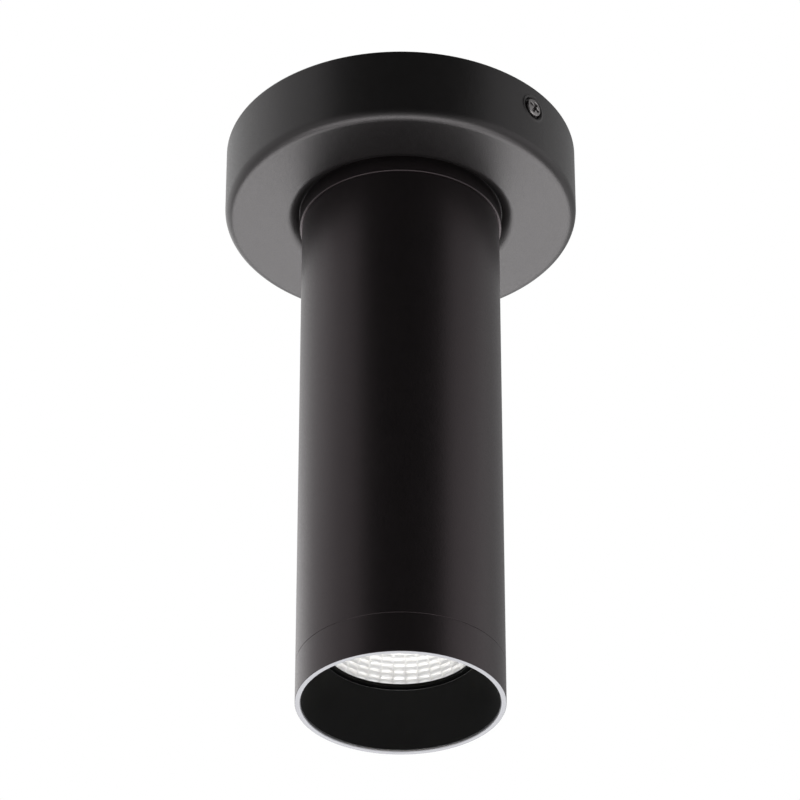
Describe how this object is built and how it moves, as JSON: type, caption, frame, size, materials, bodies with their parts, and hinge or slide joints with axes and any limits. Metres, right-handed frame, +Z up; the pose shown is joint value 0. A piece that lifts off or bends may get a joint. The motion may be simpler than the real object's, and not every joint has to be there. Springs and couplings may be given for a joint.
{
  "type": "cylinder ceiling light",
  "caption": "Surface-mounted cylinder downlight: a shallow round ceiling cup carries a slim black tube with a faceted reflector behind a deep anti-glare cone and a screwed front ring",
  "frame": {"origin": "on the lamp's axis in the plane of the ceiling, where the mounting bracket and the rim of the ceiling cup lie against it", "axes": "+Z points up into the ceiling along the tube's axis, +X runs along the mounting bracket through one of the cup's two side screws, +Y towards the terminal block"},
  "size_m": [0.1088, 0.107, 0.192],
  "materials": {
    "black_coat": "satin black powder coat",
    "black_aluminium": "satin black powder coat, bare turned lip on the front ring",
    "black_screw": "black zinc, semi-gloss",
    "matt_black_plastic": "moulded, matt black",
    "bright_reflector": "bright anodised facets",
    "raw_aluminium": "bare, as machined",
    "zinc_steel": "bright zinc plate",
    "brass": "turned",
    "white_plastic": "moulded, fine texture",
    "terminal_plastic": "moulded, translucent ivory",
    "circuit_board": "solder resist",
    "winding_tape": "yellow insulating tape",
    "capacitor_sleeve": "shrunk sleeve",
    "thermal_pad": "soft silicone",
    "led_ceramic": "white solder mask",
    "phosphor": "silicone over phosphor",
    "wire_brown": "PVC insulation",
    "wire_blue": "PVC insulation",
    "wire_green_yellow": "PVC insulation, two colours",
    "wire_red_black": "silicone insulation"
  },
  "bodies": {
    "lamp_body": {"mounting_bracket": "zinc_steel", "canopy": "black_coat", "canopy_screws": "black_screw", "terminal_block": "terminal_plastic", "terminal_screws": "zinc_steel", "terminal_block_screw": "zinc_steel", "earth_screw": "brass", "earth_washer": "brass", "nipple": "brass", "nipple_nut": "brass", "lock_washer": "zinc_steel", "nipple_bush": "white_plastic", "top_cap": "black_aluminium", "tube": "black_aluminium", "driver_bracket": "zinc_steel", "spacer_rods": "zinc_steel", "rod_top_screws": "zinc_steel", "rod_bottom_screws": "zinc_steel", "driver_case": "white_plastic", "driver_lid": "white_plastic", "driver_screws": "zinc_steel", "driver_board": "circuit_board", "board_screws": "zinc_steel", "driver_transformer": "winding_tape", "driver_capacitors": "capacitor_sleeve", "driver_terminals": "terminal_plastic", "heat_sink": "raw_aluminium", "thermal_pad": "thermal_pad", "led_board": "led_ceramic", "led_emitter": "phosphor", "led_holder": "white_plastic", "holder_screws": "zinc_steel", "live_wire": "wire_brown", "neutral_wire": "wire_blue", "earth_wire": "wire_green_yellow", "led_wires": "wire_red_black"},
    "optic": {"reflector": "bright_reflector", "retainer_ring": "matt_black_plastic"},
    "screw_ring": {"baffle": "matt_black_plastic", "front_ring": "black_aluminium"}
  },
  "joints": [
    {"name": "optic_drop", "type": "slide", "parent": "lamp_body", "child": "optic", "axis": [0, 0, -1], "range_m": [0, 0.0045]},
    {"name": "ring_turn", "type": "hinge", "parent": "optic", "child": "screw_ring", "pos_m": [0, 0, -0.18], "axis": [0, 0, -1], "range_deg": [0, 1080]}
  ],
  "couplings": [
    {"joint": "optic_drop", "follows": "ring_turn", "m_per_rad": 0.00023873}
  ]
}
